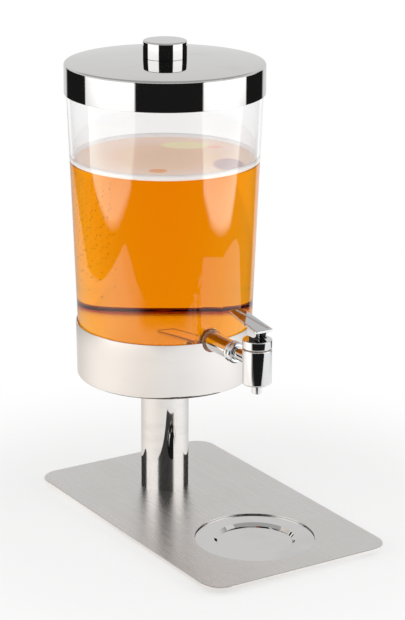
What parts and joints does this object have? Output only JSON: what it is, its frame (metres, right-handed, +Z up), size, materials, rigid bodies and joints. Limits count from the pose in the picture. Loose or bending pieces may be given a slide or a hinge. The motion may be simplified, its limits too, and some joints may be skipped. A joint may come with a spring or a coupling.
{
  "type": "juice dispenser",
  "caption": "Free-standing juice dispenser: steel base with drip tray, column and cooling bowl, clear tapered container with a lever tap, and a lift-off steel lid with a knob.",
  "frame": {"origin": "on the surface that the feet stand on, under the middle of the whole outline", "axes": "+Z up, tap towards -Y, +X to the right as seen from the front"},
  "size_m": [0.21, 0.361, 0.4813],
  "materials": {
    "satin_steel": "fine brushed satin",
    "polished_steel": "mirror polish",
    "chrome_tap": "chrome plate",
    "clear_plastic": "clear",
    "black_rubber": "matt",
    "black_plastic": "smooth moulded",
    "silicone": "translucent",
    "plain_steel": "machined",
    "spring_steel": "bright wire",
    "pack_plastic": "smooth moulded"
  },
  "bodies": {
    "stand": {"base_plate": "satin_steel", "rubber_feet": "black_rubber", "foot_screws": "plain_steel", "column_tube": "polished_steel", "column_foot": "plain_steel", "column_head": "plain_steel", "column_screws": "plain_steel", "cooling_bowl": "polished_steel", "bowl_screws": "plain_steel", "cold_pack": "pack_plastic"},
    "tray": {"drip_tray": "polished_steel"},
    "container": {"container": "clear_plastic", "tap_body": "chrome_tap", "outer_gasket": "silicone", "inner_gasket": "silicone", "lock_nut": "chrome_tap", "tap_cap": "chrome_tap", "cap_seal": "silicone", "valve_spring": "spring_steel"},
    "stem": {"valve_stem": "plain_steel", "valve_seal": "silicone"},
    "lever": {"lever": "chrome_tap", "lever_core": "black_plastic", "pivot_pin": "plain_steel"},
    "lid": {"lid_shell": "polished_steel", "knob": "polished_steel", "knob_washer": "plain_steel", "knob_screw": "plain_steel"}
  },
  "joints": [
    {"name": "tray_lift", "type": "slide", "parent": "stand", "child": "tray", "axis": [0, 0, 1], "range_m": [0, 0.03]},
    {"name": "container_lift", "type": "slide", "parent": "stand", "child": "container", "axis": [0, 0, 1], "range_m": [0, 0.08]},
    {"name": "lid_lift", "type": "slide", "parent": "container", "child": "lid", "axis": [0, 0, 1], "range_m": [0, 0.06]},
    {"name": "stem_lift", "type": "slide", "parent": "container", "child": "stem", "axis": [0, 0, 1], "range_m": [0, 0.0024], "deforming": ["valve_spring"]},
    {"name": "lever_pull", "type": "hinge", "parent": "stem", "child": "lever", "pos_m": [0, -0.09335, 0.2218], "axis": [1, 0, 0], "range_deg": [0, 40], "stiffness_Nm_per_rad": 0.05, "springref_deg": -20.05}
  ],
  "couplings": [
    {"joint": "lever_pull", "follows": "stem_lift", "rad_per_m": 290.89}
  ]
}
